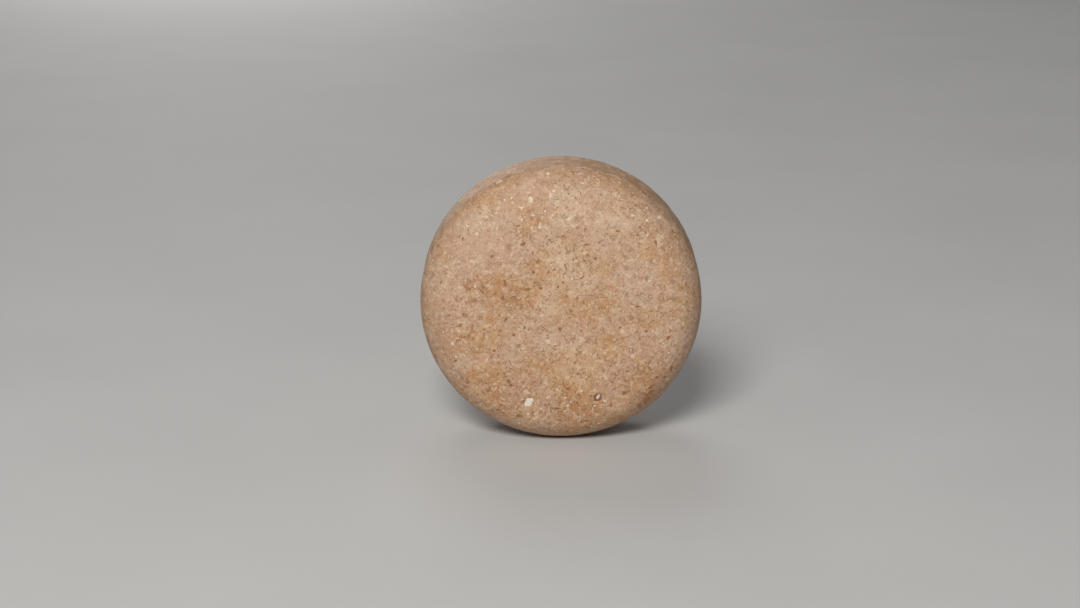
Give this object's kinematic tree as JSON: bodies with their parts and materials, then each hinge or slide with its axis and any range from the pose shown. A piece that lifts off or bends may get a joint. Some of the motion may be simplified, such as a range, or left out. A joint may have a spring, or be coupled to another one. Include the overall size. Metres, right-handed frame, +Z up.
{
  "type": "shaving soap puck",
  "caption": "Round pressed puck of speckled clay shaving soap with crowned faces and a rounded rim; it stands on its rim or lies flat in a bowl, and a wet brush is worked over its face.",
  "frame": {"origin": "on the surface that the puck stands on, under the puck's centre", "axes": "+Z up, +Y along the puck's axis from the front face to the back face, +X to the right of someone looking at the front face"},
  "size_m": [0.07, 0.026, 0.0699],
  "materials": {
    "pressed_soap": "satin",
    "white_soap_base": "satin",
    "cream_soap_base": "satin",
    "bran": "matte",
    "husk": "matte",
    "kernel": "matte"
  },
  "bodies": {
    "root": {"bran_fleck_1": "bran", "bran_fleck_2": "bran", "bran_fleck_3": "bran", "bran_fleck_4": "bran", "bran_fleck_5": "bran", "bran_fleck_6": "bran", "bran_fleck_7": "bran", "bran_fleck_8": "bran", "bran_fleck_9": "bran", "bran_fleck_back_1": "bran", "bran_fleck_back_2": "bran", "bran_fleck_rim_1": "bran", "bran_fleck_rim_2": "bran", "cream_grain_1": "cream_soap_base", "cream_grain_10": "cream_soap_base", "cream_grain_11": "cream_soap_base", "cream_grain_2": "cream_soap_base", "cream_grain_3": "cream_soap_base", "cream_grain_4": "cream_soap_base", "cream_grain_5": "cream_soap_base", "cream_grain_6": "cream_soap_base", "cream_grain_7": "cream_soap_base", "cream_grain_8": "cream_soap_base", "cream_grain_9": "cream_soap_base", "cream_grain_back_1": "cream_soap_base", "cream_grain_back_2": "cream_soap_base", "cream_grain_back_3": "cream_soap_base", "cream_grain_rim_1": "cream_soap_base", "cream_grain_rim_2": "cream_soap_base", "seed_husk": "husk", "seed_kernel": "kernel", "soap_body": "pressed_soap", "white_base_grain": "white_soap_base"}
  },
  "joints": []
}
